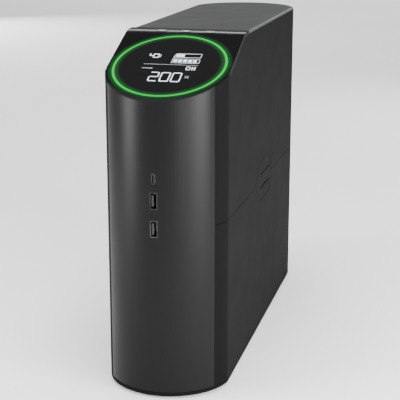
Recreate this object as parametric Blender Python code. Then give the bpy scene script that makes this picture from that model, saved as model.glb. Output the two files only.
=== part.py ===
"""A tower uninterruptible power supply, as an assembly of separate parts.

Metres, +Z up. The front faces -Y, and the origin is on the floor under the middle of the footprint.
The body is a tall capsule in plan: flat sides between two rounded ends. Its front top corner is cut
by a sloping face that carries the round display, the light ring and three buttons. The rear end is
a shroud round a flat panel of sockets. A straight seam at half height splits the right side into a
fixed upper cover and a lower battery door, with a hexagonal push latch in the middle of the seam.
"""

import math

import bmesh
import bpy
from mathutils import Matrix, Vector

# Body
BODY_WIDTH = 0.108
BODY_DEPTH = 0.400
BODY_HEIGHT = 0.305
END_DEPTH = 0.0442  # from the front of the body back to where the flat side starts
CORNER_RADIUS = 0.012  # between the end's arc and the flat side
WALL = 0.0025
GAP = 0.0004  # between two pieces that meet
FIT = 0.0003  # round a piece that sits in a hole
SEAM_ANGLE = math.radians(57)  # half of the arc that the fascia and the rear frame each cover
SEAM_HEIGHT = 0.152

# Base, feet and top
FOOT_HEIGHT = 0.0022
FOOT_RADIUS = 0.008
FOOT_STEM_RADIUS = 0.0024
FOOT_X = 0.034
FOOT_Y = 0.150
BASE_BOTTOM = 0.0025
BASE_THICKNESS = 0.003
RIM_THICKNESS = 0.002
RIM_HEIGHT = 0.010
TOP_THICKNESS = 0.003
TOP_EDGE = (0.0045, 0.0026)  # width and drop of its rounded edge

# Sloping face, display and buttons
FACE_LENGTH = 0.107  # in plan, from the front of the body to where the slope would meet the top
FACE_SLOPE = 0.428  # rise over run
BEND_RADIUS = 0.036  # of the curve from the slope to the top
BEND_STEPS = 8
BEZEL_LENGTH = 0.122  # in plan, from the front of the body to the bezel's rear edge on the top
BEZEL_THICKNESS = 0.004
BEZEL_FRONT = 0.0525  # along the slope, from the ring's centre to the bezel's curved front edge
BEZEL_SIDE = 0.0005  # how far that curve, an ellipse, would pass the body's sides
RING_SETBACK = 0.053  # in plan, from the front of the body to the ring's centre
RING_RADIUS = 0.0495
RING_WIDTH = 0.0024
RING_DEPTH = 0.0056
RING_LIP = 0.0023
RING_FLANGE = 0.0011
WINDOW_THICKNESS = 0.0025
LCD_SHARES = (1.2525, 0.808)  # the display module's width and height, as shares of the ring's radius
LCD_THICKNESS = 0.0055
BOARD_THICKNESS = 0.0016
BOARD_DEPTH = 0.0095
LED_COUNT = 12
LED_SIZE = 0.003
LED_HEIGHT = 0.0034
BUTTON_NAMES = ("mute_button", "menu_button", "power_button")
BUTTON_PITCH = 0.022
BUTTON_WIDTH = 0.009
BUTTON_HEIGHT = 0.0044
BUTTON_PROUD = 0.0002
BUTTON_FLANGE = 0.001
SWITCH_SIZE = 0.0045
SWITCH_HEIGHT = 0.0012

# Charging ports in the fascia, from the top down
PORT_DEPTH = 0.014
PORT_WALL = 0.0005
PORT_SETBACK = 0.0004
USB_C_HEIGHT = 0.195
USB_C_SIZE = (0.0036, 0.0094)
USB_A_HEIGHTS = {"upper": 0.1763, "lower": 0.1521}
USB_A_SIZE = (0.0064, 0.0142)
USB_BOARD_WIDTH = 0.018
USB_BOARD_MARGIN = 0.008

# Door latch, a hexagon across the seam
LATCH_Y = 0.005
LATCH_LENGTH = 0.080
LATCH_HEIGHT = 0.038
LATCH_POINT = 0.019
LATCH_FLANGE = 0.003
LATCH_GROOVE = (0.0016, 0.0006)  # height and depth
LATCH_GROOVE_RISE = 0.0065

# Rear shroud and panel
REAR_SETBACK = 0.0425  # from the back of the body forward to the panel's outer face
PANEL_THICKNESS = 0.0025
SHROUD_WIDTH = 0.080
SHROUD_BOTTOM = 0.020
SHROUD_TOP = 0.275
SHROUD_WALL = 0.0025

OUTLET_COUNT = 5
OUTLET_PITCH = 0.029
OUTLET_FIRST = 0.0405
OUTLET_X = 0.019
OUTLET_FACE = (0.030, 0.025)
STRIP_WIDTH = 0.034
STRIP_LIP = 0.0012
STRIP_PROUD = 0.0018
STRIP_DEPTH = 0.016
SLOT_DEPTH = 0.012
HOT_SLOT = (0.0018, 0.0064)
NEUTRAL_SLOT = (0.0018, 0.0081)
BLADE_SPACING = 0.0127
BLADE_RISE = 0.0038
EARTH_RADIUS = 0.0026
EARTH_DROP = 0.0081

INLET_X = -0.019
INLET_Z = 0.190
INLET_FLANGE = (0.031, 0.025)
INLET_BODY = (0.0272, 0.0212)
INLET_CAVITY = (0.0242, 0.0170)
INLET_CAVITY_DEPTH = 0.0165
INLET_DEPTH = 0.020
INLET_CHAMFER = 0.005
FLANGE_THICKNESS = 0.002
PIN_SIZE = (0.002, 0.004)
PIN_SPACING = 0.007
PIN_DROP = 0.002
PIN_LENGTH = 0.011

BREAKER_X = 0.020
BREAKER_Z = 0.190
BREAKER_RADIUS = 0.0065
BREAKER_COLLAR = 0.0085
BREAKER_BUTTON_RADIUS = 0.004
BREAKER_DEPTH = 0.022
BREAKER_PROUD = 0.003

JACK_X = -0.031
JACK_SIZE = (0.0158, 0.0134)
JACK_CAVITY = (0.0118, 0.0068)
JACK_NOTCHES = ((0.0062, 0.0018), (0.0042, 0.0014))
JACK_DEPTH = 0.015
JACK_PROUD = 0.0008
NETWORK_HEIGHTS = {"in": 0.2605, "out": 0.2435}
DATA_HEIGHT = 0.2255
DATA_CAVITY = (0.0085, 0.0078)
DATA_TONGUE = (0.0034, 0.0028)

# Fan behind the panel
FAN_X = 0.010
FAN_Z = 0.237
FAN_SIZE = 0.060
FAN_DEPTH = 0.015
FAN_BORE = 0.028
FAN_HUB = 0.013
FAN_BLADES = 7
FAN_BLADE_TIP = 0.0262
FAN_BLADE_THICKNESS = 0.0014
FAN_BLADE_CHORD = 0.011
FAN_BLADE_PITCH = math.radians(38)
FAN_HOLE_SPACING = 0.050
GRILLE_SLOTS = 9
GRILLE_PITCH = 0.006
GRILLE_SLOT = 0.0034
GRILLE_RADIUS = 0.0275
SCREW_RADIUS = 0.0015
SCREW_HOLE = 0.0019
SCREW_HEAD = 0.0031
SCREW_HEAD_HEIGHT = 0.0019
SCREW_LENGTH = 0.012

# Battery bay and cartridge, on the floor behind the door
BATTERY_LENGTH = 0.151
BATTERY_DEPTH = 0.094
BATTERY_HEIGHT = 0.065
TERMINAL_LENGTH = 0.005
TERMINAL_SIZE = (0.0063, 0.0008)
BAY_WALL = 0.0015
BAY_PLAY = 0.0010
BAY_REAR = 0.136

# Transformer and electronics
CORE_LENGTH = 0.108
CORE_HEIGHT = 0.090
CORE_STACK = 0.050
CORE_LEG = 0.018
CORE_REAR = -0.034
COIL_WIDTH = 0.084
COIL_PLAY = 0.001
SHELF_HEIGHT = 0.144
SHELF_THICKNESS = 0.0015
SHELF_FRONT = -0.150
MAIN_BOARD_WIDTH = 0.086
MAIN_BOARD_RISE = 0.004
MAIN_BOARD_FRONT = -0.138
MAIN_BOARD_REAR = 0.130
HEATSINK_SIZE = (0.034, 0.110, 0.046)
HEATSINK_X = -0.023
HEATSINK_Y = -0.030
HEATSINK_BASE = 0.006
HEATSINK_FINS = 6
FIN_THICKNESS = 0.002
CAPACITOR_RADIUS = 0.0125
CAPACITOR_HEIGHT = 0.040
CAPACITOR_X = 0.020
CAPACITOR_YS = (-0.080, -0.048)

# Steps in curves
ARC_STEPS = 18
CORNER_STEPS = 6
ROUND_STEPS = 96
SMALL_STEPS = 24

# Worked out from the values above
HALF_WIDTH = BODY_WIDTH / 2
HALF_DEPTH = BODY_DEPTH / 2
END_RADIUS = (END_DEPTH**2 - CORNER_RADIUS**2 + (HALF_WIDTH - CORNER_RADIUS) ** 2) / (
    2 * (END_DEPTH - CORNER_RADIUS)
)
TANGENT_ANGLE = math.asin((HALF_WIDTH - CORNER_RADIUS) / (END_RADIUS - CORNER_RADIUS))
SEAM_GAP_ANGLE = GAP / 2 / END_RADIUS
BASE_TOP = BASE_BOTTOM + BASE_THICKNESS
COVER_BOTTOM = BASE_TOP + GAP
COVER_TOP = BODY_HEIGHT - TOP_THICKNESS - GAP
RIM_INSET = WALL + GAP
INNER_HALF = HALF_WIDTH - WALL
FACE_TOP_Y = FACE_LENGTH - HALF_DEPTH
FACE_ANGLE = math.atan(FACE_SLOPE)
LCD_WIDTH, LCD_HEIGHT = (RING_RADIUS * share for share in LCD_SHARES)
RING_Y = RING_SETBACK - HALF_DEPTH
RING_Z = BODY_HEIGHT - FACE_SLOPE * (FACE_TOP_Y - RING_Y)
FACE_FRAME = Matrix.Translation((0, RING_Y, RING_Z)) @ Matrix.Rotation(FACE_ANGLE, 4, "X")
BUTTON_V = (FACE_TOP_Y - RING_Y) / math.cos(FACE_ANGLE)
BEND_REACH = BEND_RADIUS * math.tan(FACE_ANGLE / 2)  # from the meeting line to either end of the curve
BEND_DROP = BEND_RADIUS * (1 / math.cos(FACE_ANGLE / 2) - 1)
BUTTON_TURN = Matrix.Rotation(FACE_ANGLE / 2, 4, "X")
BUTTON_FRAME = Matrix.Translation((0, FACE_TOP_Y, BODY_HEIGHT)) @ BUTTON_TURN
BUTTON_FRAME = BUTTON_FRAME @ Matrix.Translation((0, 0, -BEND_DROP))
BEZEL_REAR_Y = BEZEL_LENGTH - HALF_DEPTH
PANEL_OUT = HALF_DEPTH - REAR_SETBACK
PANEL_IN = PANEL_OUT - PANEL_THICKNESS
FAN_BACK = PANEL_IN - GAP
TO_REAR = Matrix.Rotation(math.radians(-90), 4, "X")  # turns local +Z into +Y

MATERIALS = {
    "case_plastic": ((0.030, 0.031, 0.032), 0.55, 0.0),
    "top_plastic": ((0.055, 0.056, 0.058), 0.40, 0.0),
    "gloss_plastic": ((0.006, 0.006, 0.007), 0.08, 0.0),
    "window": ((0.005, 0.005, 0.006), 0.05, 0.0),
    "light_guide": ((0.05, 0.75, 0.15), 0.30, 0.0),
    "rubber": ((0.015, 0.015, 0.015), 0.85, 0.0),
    "socket_plastic": ((0.020, 0.020, 0.021), 0.45, 0.0),
    "steel": ((0.55, 0.55, 0.56), 0.35, 1.0),
    "circuit_board": ((0.02, 0.11, 0.05), 0.50, 0.0),
    "chassis_steel": ((0.45, 0.46, 0.47), 0.40, 1.0),
    "battery_case": ((0.035, 0.037, 0.042), 0.60, 0.0),
    "core_iron": ((0.16, 0.16, 0.17), 0.60, 1.0),
    "winding": ((0.45, 0.20, 0.06), 0.45, 0.3),
    "aluminium": ((0.60, 0.61, 0.62), 0.40, 1.0),
    "strap": ((0.50, 0.36, 0.03), 0.80, 0.0),
}


def clear_scene():
    for old in list(bpy.data.objects):
        bpy.data.objects.remove(old)


def material(name):
    found = bpy.data.materials.get(name)
    if found:
        return found
    colour, roughness, metallic = MATERIALS[name]
    made = bpy.data.materials.new(name)
    made.use_nodes = True
    shader = made.node_tree.nodes["Principled BSDF"]
    shader.inputs["Base Color"].default_value = (*colour, 1)
    shader.inputs["Roughness"].default_value = roughness
    shader.inputs["Metallic"].default_value = metallic
    return made


# Meshes ---------------------------------------------------------------------------------------


def new_object(name, bm, material_name=None):
    """An object holding the bmesh, shaded smooth up to 35 degrees."""
    bmesh.ops.recalc_face_normals(bm, faces=bm.faces)
    mesh = bpy.data.meshes.new(name)
    bm.to_mesh(mesh)
    bm.free()
    obj = bpy.data.objects.new(name, mesh)
    bpy.context.scene.collection.objects.link(obj)
    if material_name:
        finish(obj, material_name)
    return obj


def finish(obj, material_name, frame=None):
    """Gives a finished piece its material, smooth shading and, if it has one, its parent frame."""
    obj.data.materials.clear()
    obj.data.materials.append(material(material_name))
    obj.data.shade_smooth()
    obj.data.set_sharp_from_angle(angle=math.radians(35))
    if frame:
        obj.parent = frame
    return obj


def stack(name, loops):
    """A closed solid through loops of 3-D points, all of one length, capped at both ends."""
    bm = bmesh.new()
    rings = [[bm.verts.new(point) for point in loop] for loop in loops]
    for low, high in zip(rings, rings[1:]):
        for i in range(len(low)):
            j = (i + 1) % len(low)
            bm.faces.new((low[i], low[j], high[j], high[i]))
    bm.faces.new(list(reversed(rings[0])))
    bm.faces.new(rings[-1])
    return new_object(name, bm)


def prism(name, outline, bottom, top):
    """A plan outline of (x, y) points extruded from one height to another."""
    return stack(name, [[(x, y, z) for x, y in outline] for z in (bottom, top)])


def prism_along_x(name, outline, low, high):
    """A side outline of (y, z) points extruded along X."""
    return stack(name, [[(x, y, z) for y, z in outline] for x in (low, high)])


def prism_along_y(name, outline, low, high):
    """A front outline of (x, z) points extruded along Y."""
    return stack(name, [[(x, y, z) for x, z in outline] for y in (low, high)])


def box(name, low, high):
    outline = [(low[0], low[1]), (high[0], low[1]), (high[0], high[1]), (low[0], high[1])]
    return prism(name, outline, low[2], high[2])


def boxes(name, corners):
    """Several boxes in one mesh, as a cutter or an addition."""
    bm = bmesh.new()
    for low, high in corners:
        middle = (Vector(low) + Vector(high)) / 2
        size = Vector(high) - Vector(low)
        place = Matrix.Translation(middle) @ Matrix.Diagonal((*size, 1))
        bmesh.ops.create_cube(bm, size=1, matrix=place)
    return new_object(name, bm)


def turned(name, profile, steps):
    """A closed (radius, height) profile turned about Z. A radius of 0 is a point on the axis."""
    bm = bmesh.new()
    rings = []
    for radius, height in profile:
        if radius == 0:
            rings.append([bm.verts.new((0, 0, height))])
            continue
        angles = [2 * math.pi * i / steps for i in range(steps)]
        rings.append([bm.verts.new((radius * math.cos(a), radius * math.sin(a), height)) for a in angles])
    pairs = list(zip(rings, rings[1:] + rings[:1]))
    for first, second in pairs:
        if len(first) == len(second) == 1:
            continue
        for i in range(steps):
            j = (i + 1) % steps
            corners = [first[i % len(first)], first[j % len(first)], second[j % len(second)], second[i % len(second)]]
            bm.faces.new(list(dict.fromkeys(corners)))
    return new_object(name, bm)


def rod(name, radius, bottom, top, steps=SMALL_STEPS):
    return turned(name, [(0, bottom), (radius, bottom), (radius, top), (0, top)], steps)


def moved(obj, matrix):
    obj.data.transform(matrix)
    return obj


def combine(target, tool, operation):
    """Joins the tool to the target, or cuts it away, and removes the tool."""
    modifier = target.modifiers.new(operation, "BOOLEAN")
    modifier.operation = operation
    modifier.solver = "EXACT"
    modifier.object = tool
    bpy.context.view_layer.update()
    graph = bpy.context.evaluated_depsgraph_get()
    mesh = bpy.data.meshes.new_from_object(target.evaluated_get(graph))
    target.modifiers.clear()
    target.data = mesh
    bpy.data.objects.remove(tool)
    return target


def cut(target, tool):
    return combine(target, tool, "DIFFERENCE")


def join(target, tool):
    return combine(target, tool, "UNION")


def keep(target, tool):
    return combine(target, tool, "INTERSECT")


def frame_empty(name, matrix):
    empty = bpy.data.objects.new(name, None)
    bpy.context.scene.collection.objects.link(empty)
    empty.matrix_world = matrix
    return empty


# Plan of the body -----------------------------------------------------------------------------


def front_arc(inset, start, stop, steps=ARC_STEPS):
    """Points on the front end's arc; the angle is 0 at the middle and grows towards +X."""
    radius = END_RADIUS - inset
    centre_y = END_RADIUS - HALF_DEPTH
    angles = [start + (stop - start) * i / steps for i in range(steps + 1)]
    return [(radius * math.sin(a), centre_y - radius * math.cos(a)) for a in angles]


def front_corner(inset):
    """Points on the small arc that turns the front end into the flat right side."""
    radius = CORNER_RADIUS - inset
    x, y = HALF_WIDTH - CORNER_RADIUS, END_DEPTH - HALF_DEPTH
    angles = [
        TANGENT_ANGLE + (math.pi / 2 - TANGENT_ANGLE) * i / CORNER_STEPS
        for i in range(1, CORNER_STEPS + 1)
    ]
    return [(x + radius * math.sin(a), y - radius * math.cos(a)) for a in angles]


def right_side(inset, start):
    """The right-hand outline from an angle on the front arc to the same angle on the rear arc."""
    front = front_arc(inset, start, TANGENT_ANGLE) + front_corner(inset)
    return front + [(x, -y) for x, y in reversed(front)]


def mirrored(points):
    return [(-x, y) for x, y in points]


def body_outline(inset):
    right = right_side(inset, 0)
    return right + mirrored(right[-2:0:-1])


def side_strip(inset, thickness, start):
    """The plan of a wall along the right side, from the front seam to the rear one."""
    return right_side(inset, start) + right_side(inset + thickness, start)[::-1]


def face_profile(depth):
    """(y, z) points of the slope, the bend and the top, all sunk by a depth, up to the bezel's rear."""
    front = -HALF_DEPTH - WALL
    front_z = BODY_HEIGHT + FACE_SLOPE * (front - FACE_TOP_Y) - depth / math.cos(FACE_ANGLE)
    points = [(front, front_z)]
    centre_y, centre_z = FACE_TOP_Y + BEND_REACH, BODY_HEIGHT - BEND_RADIUS
    for i in range(BEND_STEPS + 1):
        turn = FACE_ANGLE * (1 - i / BEND_STEPS)
        radius = BEND_RADIUS - depth
        points.append((centre_y - radius * math.sin(turn), centre_z + radius * math.cos(turn)))
    return points


def above_face(depth, rear=BEZEL_REAR_Y):
    """All that is above the sloping face and its bend, sunk by a depth, up to the bezel's rear."""
    points = face_profile(depth)
    outline = points + [(rear, points[-1][1]), (rear, BODY_HEIGHT * 2), (points[0][0], BODY_HEIGHT * 2)]
    return prism_along_x("above_face", outline, -BODY_WIDTH, BODY_WIDTH)


def face_shape(grow):
    """The bezel's shape, square to the face: a half ellipse in front, then straight sides."""
    half, front = HALF_WIDTH + BEZEL_SIDE + grow, BEZEL_FRONT + grow
    turns = [math.pi * i / ROUND_STEPS * 2 for i in range(ROUND_STEPS // 2 + 1)]
    outline = [(-half * math.cos(turn), -front * math.sin(turn)) for turn in turns]
    outline += [(half, BODY_WIDTH), (-half, BODY_WIDTH)]
    return moved(prism("face_shape", outline, -BODY_WIDTH, BODY_WIDTH), FACE_FRAME)


def face_slab(plan):
    """The layer as thick as the bezel under the sloping face, and all above it, within a plan.

    It stops below the top of the other cutters, so that no two flat ends lie in one plane.
    """
    slab = above_face(BEZEL_THICKNESS, BEZEL_REAR_Y - GAP)
    return keep(slab, prism("plan", plan, BASE_BOTTOM, BODY_HEIGHT * 1.5))


def bezel_seat():
    """A cutter for the room that the bezel takes, with a gap round it."""
    return keep(above_face(BEZEL_THICKNESS + GAP), face_shape(GAP))


def front_wedge(reach):
    """A plan wedge from the front arc's centre, as wide as an angle to each side.

    A wedge that trims a shoulder is a little off the seam, so that it isn't flush with the wall's end.
    """
    far = BODY_WIDTH
    centre_y = END_RADIUS - HALF_DEPTH
    x, y = far * math.sin(reach), centre_y - far * math.cos(reach)
    return [(0, centre_y), (-x, y), (0, centre_y - far * 2), (x, y)]


def hexagon(grow):
    """The latch's (y, z) outline, grown outwards."""
    half, rise = LATCH_LENGTH / 2 + grow, LATCH_HEIGHT / 2 + grow
    shoulder = half - LATCH_POINT
    return [
        (LATCH_Y + y, SEAM_HEIGHT + z)
        for y, z in (
            (-half, 0),
            (-shoulder, -rise),
            (shoulder, -rise),
            (half, 0),
            (shoulder, rise),
            (-shoulder, rise),
        )
    ]


# Outer shells ---------------------------------------------------------------------------------


def make_base():
    plate = prism("base_tray", body_outline(0), BASE_BOTTOM, BASE_TOP)
    rim = prism("rim", body_outline(RIM_INSET), BASE_TOP - GAP, BASE_TOP + RIM_HEIGHT)
    cut(rim, prism("inside", body_outline(RIM_INSET + RIM_THICKNESS), 0, BODY_HEIGHT))
    flat = HALF_DEPTH - END_DEPTH
    cut(rim, box("flat_sides", (-BODY_WIDTH, -flat, BASE_TOP), (BODY_WIDTH, flat, BODY_HEIGHT)))
    join(plate, rim)
    slots = [
        ((-0.024, y - 0.0015, 0), (0.024, y + 0.0015, BODY_HEIGHT))
        for y in (HALF_DEPTH * share for share in (-0.70, -0.64, -0.58, 0.56, 0.62))
    ]
    cut(plate, boxes("intake_slots", slots))
    for x in (-FOOT_X, FOOT_X):
        for y in (-FOOT_Y, FOOT_Y):
            hole = rod("foot_hole", FOOT_STEM_RADIUS + FIT, 0, BASE_TOP * 2)
            cut(plate, moved(hole, Matrix.Translation((x, y, 0))))
    finish(plate, "case_plastic")


def make_feet():
    profile = [
        (0, 0),
        (FOOT_RADIUS - 0.0008, 0),
        (FOOT_RADIUS, FOOT_HEIGHT),
        (FOOT_STEM_RADIUS, FOOT_HEIGHT),
        (FOOT_STEM_RADIUS, BASE_TOP + 0.0006),
        (0, BASE_TOP + 0.0006),
    ]
    for end, y in (("front", -FOOT_Y), ("rear", FOOT_Y)):
        for side, x in (("left", -FOOT_X), ("right", FOOT_X)):
            foot = turned(f"foot_{end}_{side}", profile, SMALL_STEPS)
            foot.location = (x, y, 0)
            finish(foot, "rubber")


def port_hole(height, size):
    """A cutter through the fascia round one port."""
    half_x, half_z = size[0] / 2 + FIT, size[1] / 2 + FIT
    low = (-half_x, -HALF_DEPTH - WALL, height - half_z)
    return low, (half_x, -HALF_DEPTH + WALL * 3, height + half_z)


def make_fascia():
    reach = SEAM_ANGLE - SEAM_GAP_ANGLE
    steps = ARC_STEPS * 2
    outline = front_arc(0, -reach, reach, steps) + front_arc(WALL, -reach, reach, steps)[::-1]
    fascia = prism("front_fascia", outline, COVER_BOTTOM, COVER_TOP)
    wedge = prism("wedge", front_wedge(reach - SEAM_GAP_ANGLE), 0, BODY_HEIGHT * 2)
    join(fascia, keep(face_slab(body_outline(WALL / 2)), wedge))
    cut(fascia, above_face(0))
    cut(fascia, bezel_seat())
    holes = [port_hole(USB_C_HEIGHT, USB_C_SIZE)]
    holes += [port_hole(height, USB_A_SIZE) for height in USB_A_HEIGHTS.values()]
    cut(fascia, boxes("port_holes", holes))
    finish(fascia, "case_plastic")


def make_side_covers():
    start = SEAM_ANGLE + SEAM_GAP_ANGLE
    right = side_strip(0, WALL, start)
    left = prism("side_cover_left", mirrored(right)[::-1], COVER_BOTTOM, COVER_TOP)
    upper = prism("side_cover_right", right, SEAM_HEIGHT + GAP / 2, COVER_TOP)
    door = prism("battery_door", right, COVER_BOTTOM, SEAM_HEIGHT - GAP / 2)
    for cover, side in ((left, -1), (upper, 1)):
        shoulder = face_slab(body_outline(WALL / 2))
        cut(shoulder, prism("wedge", front_wedge(start + SEAM_GAP_ANGLE), 0, BODY_HEIGHT * 4))
        other_half = (min(0, -side * BODY_WIDTH), -BODY_DEPTH, 0)
        cut(shoulder, box("half", other_half, (max(0, -side * BODY_WIDTH), BODY_DEPTH, BODY_HEIGHT * 4)))
        behind = (-BODY_WIDTH, RING_Y, 0)
        cut(shoulder, box("behind", behind, (BODY_WIDTH, BODY_DEPTH, BODY_HEIGHT * 4)))
        join(cover, shoulder)
        cut(cover, above_face(0))
        cut(cover, bezel_seat())
    for cover in (upper, door):
        cut(cover, prism_along_x("latch_window", hexagon(GAP), INNER_HALF - WALL, BODY_WIDTH))
    groove = box(
        "groove",
        (-BODY_WIDTH, -HALF_DEPTH, SEAM_HEIGHT - GAP),
        (-HALF_WIDTH + WALL / 4, HALF_DEPTH, SEAM_HEIGHT + GAP),
    )
    cut(left, groove)
    for cover in (left, upper, door):
        finish(cover, "case_plastic")


def make_latch():
    """The push latch, held by a flange behind the door, so it comes away with the door."""
    latch = prism_along_x("door_latch", hexagon(0), INNER_HALF, HALF_WIDTH)
    height, depth = LATCH_GROOVE
    flat_half = LATCH_LENGTH / 2 - LATCH_POINT
    grooves = []
    for rise in (-LATCH_GROOVE_RISE, LATCH_GROOVE_RISE):
        middle = SEAM_HEIGHT + rise
        low = (HALF_WIDTH - depth, LATCH_Y - flat_half, middle - height / 2)
        grooves.append((low, (BODY_WIDTH, LATCH_Y + flat_half, middle + height / 2)))
    cut(latch, boxes("grooves", grooves))
    half = LATCH_LENGTH / 2 - LATCH_POINT
    low = (INNER_HALF - GAP - WALL / 2, LATCH_Y - half, SEAM_HEIGHT - LATCH_HEIGHT / 2 - LATCH_FLANGE)
    high = (INNER_HALF - GAP, LATCH_Y + half, SEAM_HEIGHT - WALL / 2)
    neck_low = (INNER_HALF - WALL / 2, LATCH_Y - half, SEAM_HEIGHT - LATCH_HEIGHT / 2 + GAP)
    neck_high = (INNER_HALF + WALL / 2, LATCH_Y + half, SEAM_HEIGHT - WALL / 2)
    flange = box("flange", low, high)
    join(latch, join(flange, box("neck", neck_low, neck_high)))
    finish(latch, "case_plastic")


def top_outline(inset):
    """The top's plan: a straight front edge, the flat sides and the rounded rear end."""
    x, y = HALF_WIDTH - inset, BEZEL_REAR_Y + inset * GAP / TOP_EDGE[0]
    rear = [(x, -y) for x, y in reversed(front_arc(inset, 0, TANGENT_ANGLE) + front_corner(inset))]
    right = [(x, y), *rear]
    return right + mirrored(right[-2::-1])


def make_top():
    under = BODY_HEIGHT - TOP_THICKNESS
    loops = [(0, under)]
    for i in range(5):
        turn = math.pi / 2 * i / 4
        width, drop = TOP_EDGE
        loops.append((width * (1 - math.cos(turn)), BODY_HEIGHT - drop * (1 - math.sin(turn))))
    top = stack("top_cover", [[(x, y, z) for x, y in top_outline(inset)] for inset, z in loops])
    rim_bottom = under - RIM_HEIGHT
    rim = prism("rim", body_outline(RIM_INSET), rim_bottom, under + GAP)
    cut(rim, prism("inside", body_outline(RIM_INSET + RIM_THICKNESS), 0, BODY_HEIGHT * 2))
    front = (-BODY_WIDTH, -BODY_DEPTH, 0)
    cut(rim, box("front_part", front, (BODY_WIDTH, BEZEL_REAR_Y + RIM_THICKNESS, BODY_HEIGHT * 2)))
    finish(join(top, rim), "top_plastic")


def button_places():
    return [(name, (i - 1) * BUTTON_PITCH) for i, name in enumerate(BUTTON_NAMES)]


def make_bezel():
    bezel = face_slab(body_outline(0))
    bezel.name = "display_bezel"
    cut(bezel, above_face(0))
    keep(bezel, face_shape(0))
    ring_hole = rod("ring_hole", RING_RADIUS + FIT, -BEZEL_THICKNESS * 3, BEZEL_THICKNESS * 3, ROUND_STEPS)
    cut(bezel, moved(ring_hole, FACE_FRAME))
    half_x, half_v = BUTTON_WIDTH / 2 + FIT, BUTTON_HEIGHT / 2 + FIT
    holes = [
        ((x - half_x, -half_v, -BEZEL_THICKNESS * 3), (x + half_x, half_v, BEZEL_THICKNESS))
        for _, x in button_places()
    ]
    cut(bezel, moved(boxes("button_holes", holes), BUTTON_FRAME))
    finish(bezel, "gloss_plastic")


# Display --------------------------------------------------------------------------------------


def make_display(face):
    inner = RING_RADIUS - RING_WIDTH
    lip_top = -WINDOW_THICKNESS - GAP
    flange_top = -BEZEL_THICKNESS - GAP
    ring = turned(
        "ring_light",
        [
            (inner, 0),
            (RING_RADIUS, 0),
            (RING_RADIUS, flange_top),
            (RING_RADIUS + FIT + RING_FLANGE, flange_top),
            (RING_RADIUS + FIT + RING_FLANGE, -RING_DEPTH),
            (inner - RING_LIP, -RING_DEPTH),
            (inner - RING_LIP, lip_top),
            (inner, lip_top),
        ],
        ROUND_STEPS,
    )
    finish(ring, "light_guide", face)
    window = rod("display_window", inner - FIT, -WINDOW_THICKNESS, 0, ROUND_STEPS)
    finish(window, "window", face)

    lcd_top = lip_top
    low = (-LCD_WIDTH / 2, -LCD_HEIGHT / 2, lcd_top - LCD_THICKNESS)
    lcd = box("lcd_module", low, (LCD_WIDTH / 2, LCD_HEIGHT / 2, lcd_top))
    finish(lcd, "socket_plastic", face)

    board_top, board_bottom = -BOARD_DEPTH, -BOARD_DEPTH - BOARD_THICKNESS
    board = rod("display_board", RING_RADIUS - GAP, board_bottom, board_top, ROUND_STEPS // 2)
    tab_x = BUTTON_PITCH + BUTTON_WIDTH
    tab = box("tab", (-tab_x, RING_RADIUS / 2, board_bottom), (tab_x, BUTTON_V + BUTTON_HEIGHT / 2, board_top))
    join(board, tab)
    radius = RING_RADIUS - LED_SIZE
    spots = []
    for i in range(LED_COUNT):
        turn = 2 * math.pi * (i + 0.5) / LED_COUNT
        x, v = radius * math.cos(turn), radius * math.sin(turn)
        half = LED_SIZE / 2
        spots.append(((x - half, v - half, board_top - GAP), (x + half, v + half, board_top + LED_HEIGHT)))
    join(board, boxes("leds", spots))
    finish(board, "circuit_board", face)


def make_buttons(face, bend):
    """Caps at the bend, halfway between the slope and the top, over switches on the board."""
    half_x, half_v = BUTTON_WIDTH / 2, BUTTON_HEIGHT / 2
    reach_x, reach_v = half_x + BUTTON_FLANGE, half_v + BUTTON_FLANGE
    sag = reach_v**2 / (BEND_RADIUS - BEZEL_THICKNESS) / 2  # the bezel's curved underside comes this much lower
    flange_top = -BEZEL_THICKNESS - GAP - sag
    bottom = flange_top - BUTTON_FLANGE
    for name, x in button_places():
        cap = box(name, (x - half_x, -half_v, bottom), (x + half_x, half_v, BUTTON_PROUD))
        join(cap, box("flange", (x - reach_x, -reach_v, bottom), (x + reach_x, reach_v, flange_top)))
        finish(cap, "gloss_plastic", bend)

        half = SWITCH_SIZE / 2
        middle = BUTTON_V - BUTTON_FLANGE
        foot = -BOARD_DEPTH + FIT
        low = (x - half, middle - half, foot)
        switch = box(f"{name.removesuffix('_button')}_switch", low, (x + half, middle + half, foot + SWITCH_HEIGHT))
        finish(switch, "socket_plastic", face)


# Charging ports -------------------------------------------------------------------------------


def rounded_slot(width, height, steps=5):
    """An (x, z) outline with round ends above and below, as wide as the ends are round."""
    radius = width / 2
    points = []
    for side, middle in ((1, height / 2 - radius), (-1, radius - height / 2)):
        for i in range(steps + 1):
            turn = math.pi * i / steps
            points.append((side * radius * math.cos(turn), middle + side * radius * math.sin(turn)))
    return points


def rectangle(width, height):
    x, z = width / 2, height / 2
    return [(-x, -z), (x, -z), (x, z), (-x, z)]


def shifted(outline, x, z):
    return [(px + x, pz + z) for px, pz in outline]


def make_port(name, outline, size, height, tongue_width, tongue_x):
    """A metal shell with a plastic tongue on a block that closes the shell's back end."""
    front = PORT_SETBACK - HALF_DEPTH
    back = front + PORT_DEPTH
    shell = prism_along_y(f"{name}_shell", shifted(outline(*size), 0, height), front, back)
    inner = (size[0] - PORT_WALL * 2, size[1] - PORT_WALL * 2)
    bore = shifted(outline(*inner), 0, height)
    cut(shell, prism_along_y("bore", bore, front - WALL, back + WALL))
    finish(shell, "steel")
    play = PORT_WALL / 4
    plug = (inner[0] - play * 2, inner[1] - play * 2)
    block = prism_along_y(f"{name}_tongue", shifted(outline(*plug), 0, height), back - WALL, back)
    reach = inner[1] / 2 - tongue_width
    low = (tongue_x - tongue_width / 2, front + PORT_WALL * 2, height - reach)
    tongue = box("tongue", low, (tongue_x + tongue_width / 2, back - WALL / 2, height + reach))
    finish(join(block, tongue), "socket_plastic")


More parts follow.
